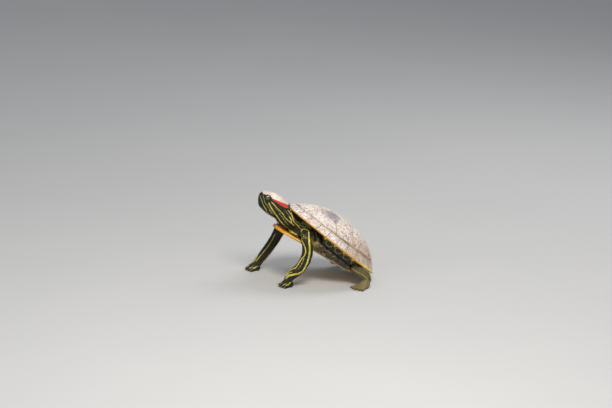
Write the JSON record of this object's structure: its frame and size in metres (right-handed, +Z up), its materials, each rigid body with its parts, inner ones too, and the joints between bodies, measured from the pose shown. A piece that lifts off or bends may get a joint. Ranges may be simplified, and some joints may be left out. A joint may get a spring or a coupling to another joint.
{
  "type": "turtle figure",
  "caption": "Still life-size red-eared slider turtle standing with its front raised, neck stretched out and legs planted, in a dry scuted shell.",
  "frame": {"origin": "on the floor, under the middle of the whole turtle's bounding box", "axes": "+Z up; the turtle faces -Y; its left side is on +X; it stands on Z = 0"},
  "size_m": [0.1724, 0.1864, 0.1364],
  "materials": {
    "dry_scute": "dry, chalky horn with growth wrinkles",
    "plastron_horn": "smooth yellow horn with dark blotches",
    "striped_skin": "dark olive scaly skin with yellow stripes",
    "eye": "wet and glossy"
  },
  "bodies": {
    "root": {"nuchal": "dry_scute", "vertebral_1": "dry_scute", "vertebral_2": "dry_scute", "vertebral_3": "dry_scute", "vertebral_4": "dry_scute", "vertebral_5": "dry_scute", "costal_left_1": "dry_scute", "costal_left_2": "dry_scute", "costal_left_3": "dry_scute", "costal_left_4": "dry_scute", "marginal_left_1": "dry_scute", "marginal_left_2": "dry_scute", "marginal_left_3": "dry_scute", "marginal_left_4": "dry_scute", "marginal_left_5": "dry_scute", "marginal_left_6": "dry_scute", "marginal_left_7": "dry_scute", "marginal_left_8": "dry_scute", "marginal_left_9": "dry_scute", "marginal_left_10": "dry_scute", "marginal_left_11": "dry_scute", "marginal_left_12": "dry_scute", "eye_left": "eye", "costal_right_1": "dry_scute", "costal_right_2": "dry_scute", "costal_right_3": "dry_scute", "costal_right_4": "dry_scute", "marginal_right_1": "dry_scute", "marginal_right_2": "dry_scute", "marginal_right_3": "dry_scute", "marginal_right_4": "dry_scute", "marginal_right_5": "dry_scute", "marginal_right_6": "dry_scute", "marginal_right_7": "dry_scute", "marginal_right_8": "dry_scute", "marginal_right_9": "dry_scute", "marginal_right_10": "dry_scute", "marginal_right_11": "dry_scute", "marginal_right_12": "dry_scute", "eye_right": "eye", "plastron": "plastron_horn", "trunk": "striped_skin", "neck": "striped_skin", "head": "striped_skin", "lower_jaw": "striped_skin", "tail": "striped_skin", "foreleg_left_upper": "striped_skin", "foreleg_left_lower": "striped_skin", "forefoot_left": "striped_skin", "foreleg_right_upper": "striped_skin", "foreleg_right_lower": "striped_skin", "forefoot_right": "striped_skin", "hindleg_left_thigh": "striped_skin", "hindleg_left_shank": "striped_skin", "hindfoot_left": "striped_skin", "hindleg_right_thigh": "striped_skin", "hindleg_right_shank": "striped_skin", "hindfoot_right": "striped_skin"}
  },
  "joints": []
}
